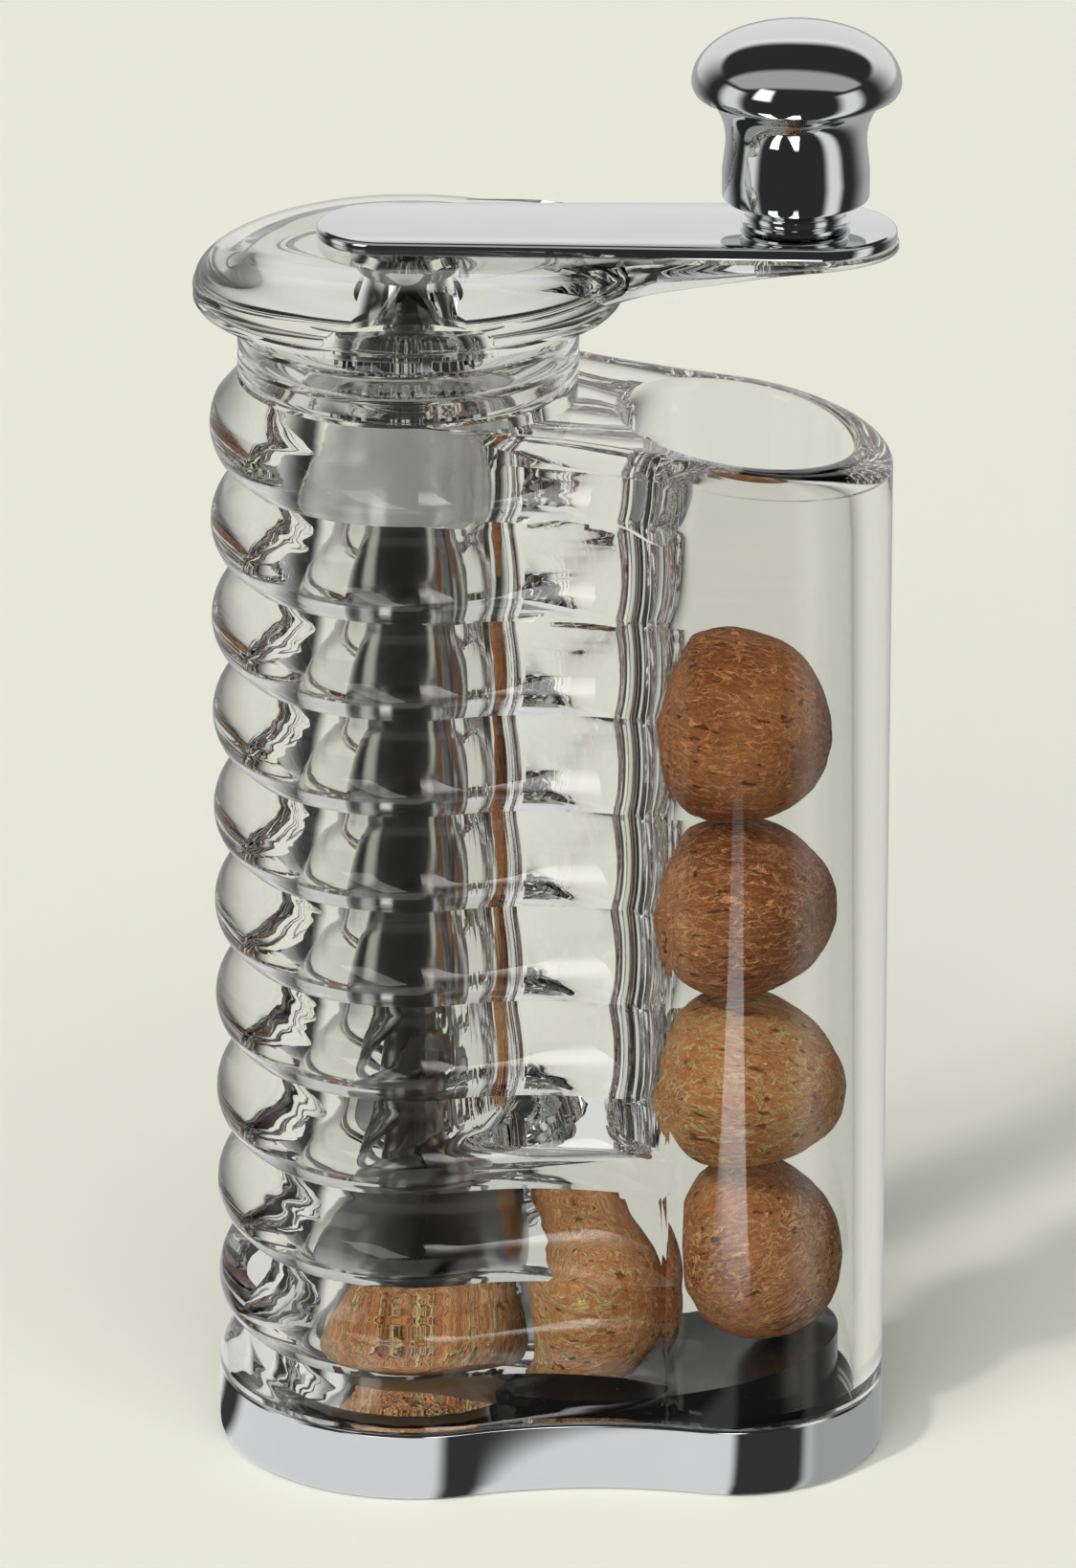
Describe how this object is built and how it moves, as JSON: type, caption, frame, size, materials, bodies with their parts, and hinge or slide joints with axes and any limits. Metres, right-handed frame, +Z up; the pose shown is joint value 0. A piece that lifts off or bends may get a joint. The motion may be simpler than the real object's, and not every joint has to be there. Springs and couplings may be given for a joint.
{
  "type": "crank nutmeg mill",
  "caption": "Clear ribbed hand-cranked nutmeg mill with a storage bore beside a sprung grinding plunger.",
  "frame": {"origin": "on the floor, in the middle of the outline seen from above", "axes": "+Z up along the crank's axis, +X from the grinding chamber towards the storage chamber"},
  "size_m": [0.0775, 0.0472, 0.167],
  "materials": {
    "clear_plastic": "polished, clear",
    "chromed_metal": "polished",
    "stainless_steel": "satin",
    "black_plastic": "gloss",
    "nutmeg": "dry, fine-grained"
  },
  "bodies": {
    "housing": {"housing_body": "clear_plastic", "neck_collar": "clear_plastic", "shaft_bush": "clear_plastic", "base_ring": "chromed_metal", "grater_carrier": "black_plastic", "grater_plate": "stainless_steel", "feed_ramp": "black_plastic", "base_screw_1": "stainless_steel", "base_screw_2": "stainless_steel", "base_screw_3": "stainless_steel", "nutmeg_1": "nutmeg", "nutmeg_2": "nutmeg", "nutmeg_3": "nutmeg", "nutmeg_4": "nutmeg", "nutmeg_5": "nutmeg"},
    "guide": {"guide_sleeve": "chromed_metal"},
    "crank": {"crank_cap": "clear_plastic", "crank_strip": "chromed_metal", "drive_hub": "chromed_metal", "hub_screw": "stainless_steel", "drive_tube": "chromed_metal", "spring_seat": "stainless_steel", "pressure_spring": "stainless_steel", "knob_collar": "chromed_metal", "knob_pin": "stainless_steel", "pin_clip": "stainless_steel"},
    "knob": {"knob": "chromed_metal"},
    "gripper": {"plunger_rod": "stainless_steel", "rod_stop": "stainless_steel", "pressure_plate": "stainless_steel", "plunger_nut": "stainless_steel", "gripper_prongs": "stainless_steel", "nutmeg_6": "nutmeg"}
  },
  "joints": [
    {"name": "crank_turn", "type": "hinge", "parent": "housing", "child": "guide", "pos_m": [-0.01508, 0, 0.1257], "axis": [0, 0, 1], "continuous": true},
    {"name": "crank_lift", "type": "slide", "parent": "guide", "child": "crank", "axis": [0, 0, 1], "range_m": [0, 0.03]},
    {"name": "knob_turn", "type": "hinge", "parent": "crank", "child": "knob", "pos_m": [0.02728, 0.00333, 0.152], "axis": [0, 0, 1], "continuous": true},
    {"name": "plunger", "type": "slide", "parent": "crank", "child": "gripper", "axis": [0, 0, 1], "range_m": [0, 0.01], "stiffness_N_per_m": 150, "springref_m": -0.013, "deforming": ["pressure_spring"]}
  ]
}
